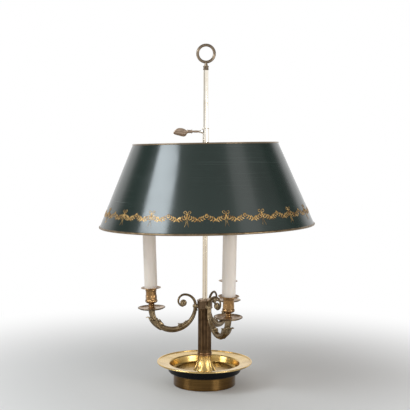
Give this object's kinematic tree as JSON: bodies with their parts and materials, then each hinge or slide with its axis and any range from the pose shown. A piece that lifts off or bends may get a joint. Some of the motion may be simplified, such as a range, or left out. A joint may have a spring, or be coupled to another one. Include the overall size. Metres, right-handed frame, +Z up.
{
  "type": "bouillotte lamp",
  "caption": "Table lamp with scrolled candle arms on a fluted column over a drip dish, under a green metal shade that slides on a rod and is clamped by a leaf-shaped key.",
  "frame": {"origin": "centre of the felt face that the lamp stands on, on the axis of the column", "axes": "+Z up along the column and rod, -Y is the front, -X is the side that the key of the shade points to"},
  "size_m": [0.3956, 0.3958, 0.628],
  "materials": {
    "felt": "green baize",
    "steel": "bright zinc-plated steel",
    "iron": "raw casting",
    "satin_brass": "brushed brass, lacquered",
    "black_bush": "moulded nylon",
    "black_lacquer": "gloss black lacquer",
    "polished_brass": "polished",
    "porcelain": "glazed",
    "column_bronze": "dark brown patina",
    "rod_brass": "polished, pale",
    "ring_bronze": "brown patina",
    "key_bronze": "brown patina",
    "arm_bronze": "olive-brown patina",
    "cup_gilt": "warm gilt, worn",
    "bead_brass": "dull gilt",
    "green_lacquer": "gloss dark green lacquer",
    "lead_sheath": "gold PVC flex",
    "holder_black": "phenolic",
    "ivory_sleeve": "ivory, satin",
    "cap_nickel": "bright",
    "opal_glass": "opal"
  },
  "bodies": {
    "base": {"felt_pad": "felt", "bottom_cover": "steel", "ballast_weight": "iron", "foot_ring": "satin_brass", "cord_bush": "black_bush", "under_bowl": "black_lacquer", "drip_dish": "polished_brass", "tie_rod": "steel", "tie_washer": "steel", "tie_nut": "steel", "terminal_block": "porcelain", "column_flare": "polished_brass", "column_collar": "column_bronze", "fluted_column": "column_bronze", "column_capital": "column_bronze", "arm_studs": "steel", "shade_rod": "rod_brass", "finial_collar": "ring_bronze", "finial_ring": "ring_bronze", "arm_left": "arm_bronze", "arm_front": "arm_bronze", "arm_back": "arm_bronze", "lamp_lead_left": "lead_sheath", "lamp_lead_front": "lead_sheath", "lamp_lead_back": "lead_sheath", "drip_pan_left": "cup_gilt", "drip_pan_front": "cup_gilt", "drip_pan_back": "cup_gilt", "candle_cup_left": "cup_gilt", "candle_cup_front": "cup_gilt", "candle_cup_back": "cup_gilt", "holder_nipple_left": "steel", "holder_nipple_front": "steel", "holder_nipple_back": "steel", "lampholder_left": "holder_black", "lampholder_front": "holder_black", "lampholder_back": "holder_black", "candle_sleeve_left": "ivory_sleeve", "candle_sleeve_front": "ivory_sleeve", "candle_sleeve_back": "ivory_sleeve", "bulb_cap_left": "cap_nickel", "bulb_cap_front": "cap_nickel", "bulb_cap_back": "cap_nickel", "bulb_glass_left": "opal_glass", "bulb_glass_front": "opal_glass", "bulb_glass_back": "opal_glass"},
    "carrier": {"carrier_sleeve": "rod_brass", "shade_nut": "cup_gilt"},
    "key": {"shade_key": "key_bronze"},
    "shade": {"shade_spider": "cup_gilt", "shade_shell": "green_lacquer", "shade_top_bead": "bead_brass", "shade_bottom_bead": "bead_brass"}
  },
  "joints": [
    {"name": "shade_height", "type": "slide", "parent": "base", "child": "carrier", "axis": [0, 0, 1], "range_m": [-0.04, 0.1]},
    {"name": "shade_swivel", "type": "hinge", "parent": "carrier", "child": "shade", "pos_m": [0, 0, 0.4323], "axis": [0, 0, 1], "continuous": true},
    {"name": "key_turn", "type": "hinge", "parent": "carrier", "child": "key", "pos_m": [-0.0117, 0, 0.4684], "axis": [-1, 0, 0], "range_deg": [0, 360]}
  ]
}
